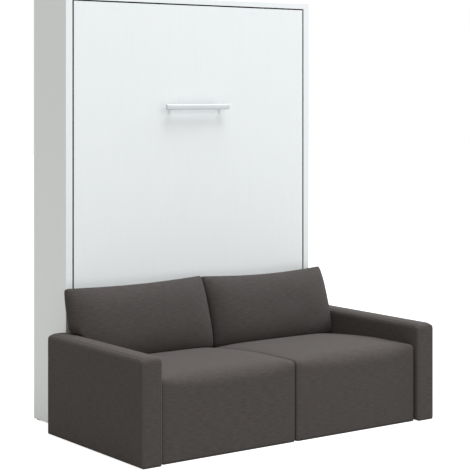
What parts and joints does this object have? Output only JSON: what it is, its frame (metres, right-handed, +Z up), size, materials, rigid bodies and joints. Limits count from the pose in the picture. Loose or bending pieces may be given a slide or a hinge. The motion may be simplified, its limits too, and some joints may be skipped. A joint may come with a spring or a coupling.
{
  "type": "wall bed with sofa",
  "caption": "Vertical wall bed in a shallow white cabinet that folds down over a two-seat sofa, with sprung slats, gas struts and folding legs.",
  "frame": {"origin": "middle of the footprint, on the floor", "axes": "+Z up, +Y towards the wall behind the cabinet, +X to the right of someone who faces the wall; the bed is folded up"},
  "size_m": [1.7846, 1.2126, 2.18],
  "materials": {
    "white_laminate": "satin",
    "taupe_fabric": "matte",
    "plywood": "matte",
    "beech": "satin",
    "grey_frame_paint": "satin",
    "zinc_steel": "satin",
    "satin_aluminium": "satin",
    "black_plastic": "matte",
    "bearing_plastic": "satin",
    "black_rubber": "matte",
    "mattress_ticking": "matte",
    "black_webbing": "matte",
    "black_cylinder_paint": "gloss",
    "polished_rod": "polished"
  },
  "bodies": {
    "cabinet_and_sofa": {"side_panel_left": "white_laminate", "side_panel_right": "white_laminate", "top_panel": "white_laminate", "kick_panel": "white_laminate", "lower_rear_rail": "white_laminate", "headboard_panel": "white_laminate", "upper_rear_rail": "white_laminate", "wall_brackets": "zinc_steel", "corner_angles": "zinc_steel", "pivot_plate_left": "zinc_steel", "pivot_plate_right": "zinc_steel", "strut_anchor_left": "zinc_steel", "strut_anchor_right": "zinc_steel", "arm_connectors": "zinc_steel", "closing_stops": "black_rubber", "cabinet_glides": "black_plastic", "sofa_glides": "black_plastic", "sofa_spacers": "beech", "seat_webbing_left": "black_webbing", "seat_webbing_right": "black_webbing", "seat_base_left": "plywood", "seat_base_right": "plywood", "arm_core_left": "plywood", "arm_core_right": "plywood", "seat_cushion_left": "taupe_fabric", "seat_cushion_right": "taupe_fabric", "arm_cover_left": "taupe_fabric", "arm_cover_right": "taupe_fabric"},
    "folding_bed": {"facade_panel": "white_laminate", "handle": "satin_aluminium", "bed_side_rail_left": "grey_frame_paint", "bed_side_rail_right": "grey_frame_paint", "bed_centre_rail": "grey_frame_paint", "bed_head_rail": "grey_frame_paint", "bed_foot_rail": "grey_frame_paint", "facade_clips": "zinc_steel", "slats_left": "beech", "slats_right": "beech", "slat_caps": "black_plastic", "mattress": "mattress_ticking", "mattress_straps": "black_webbing", "strap_buckles": "black_plastic", "bed_bracket_left": "zinc_steel", "bed_bracket_right": "zinc_steel", "pivot_bushes": "bearing_plastic", "shaft_bushes": "bearing_plastic"},
    "folding_legs": {"leg_shaft": "zinc_steel", "leg_left": "zinc_steel", "leg_right": "zinc_steel", "leg_feet": "black_rubber"},
    "left_strut_cylinder": {"strut_cylinder_left": "black_cylinder_paint"},
    "left_strut_rod": {"strut_rod_left": "polished_rod"},
    "left_back_cushion": {"back_cushion_left": "taupe_fabric"},
    "right_strut_cylinder": {"strut_cylinder_right": "black_cylinder_paint"},
    "right_strut_rod": {"strut_rod_right": "polished_rod"},
    "right_back_cushion": {"back_cushion_right": "taupe_fabric"}
  },
  "joints": [
    {"name": "bed_fold", "type": "hinge", "parent": "cabinet_and_sofa", "child": "folding_bed", "pos_m": [0, 0.2943, 0.495], "axis": [1, 0, 0], "range_deg": [0, 90], "deforming": ["back_cushion_left", "back_cushion_right"]},
    {"name": "leg_fold", "type": "hinge", "parent": "folding_bed", "child": "folding_legs", "pos_m": [0, 0.3113, 1.6], "axis": [1, 0, 0], "range_deg": [0, 90.5]},
    {"name": "left_strut_swing", "type": "hinge", "parent": "cabinet_and_sofa", "child": "left_strut_cylinder", "pos_m": [-0.7225, 0.4443, 1.02], "axis": [1, 0, 0], "range_deg": [0, 12]},
    {"name": "left_strut_slide", "type": "slide", "parent": "left_strut_cylinder", "child": "left_strut_rod", "axis": [0, 0.0961, 0.9954], "range_m": [0, 0.281]},
    {"name": "left_cushion_topple", "type": "hinge", "parent": "cabinet_and_sofa", "child": "left_back_cushion", "pos_m": [0, 0.02622, 0.40761], "axis": [1, 0, 0], "range_deg": [0, 107]},
    {"name": "right_strut_swing", "type": "hinge", "parent": "cabinet_and_sofa", "child": "right_strut_cylinder", "pos_m": [0.7225, 0.4443, 1.02], "axis": [1, 0, 0], "range_deg": [0, 12]},
    {"name": "right_strut_slide", "type": "slide", "parent": "right_strut_cylinder", "child": "right_strut_rod", "axis": [0, 0.0961, 0.9954], "range_m": [0, 0.281]},
    {"name": "right_cushion_topple", "type": "hinge", "parent": "cabinet_and_sofa", "child": "right_back_cushion", "pos_m": [0, 0.02622, 0.40761], "axis": [1, 0, 0], "range_deg": [0, 107]}
  ],
  "couplings": [
    {"joint": "leg_fold", "follows": "bed_fold", "ratio": 1},
    {"joint": "left_strut_swing", "follows": "bed_fold", "ratio": 0.13251},
    {"joint": "left_strut_slide", "follows": "bed_fold", "m_per_rad": 0.17862},
    {"joint": "left_cushion_topple", "follows": "bed_fold", "ratio": 1.1856},
    {"joint": "right_strut_swing", "follows": "bed_fold", "ratio": 0.13251},
    {"joint": "right_strut_slide", "follows": "bed_fold", "m_per_rad": 0.17862},
    {"joint": "right_cushion_topple", "follows": "bed_fold", "ratio": 1.1856}
  ]
}
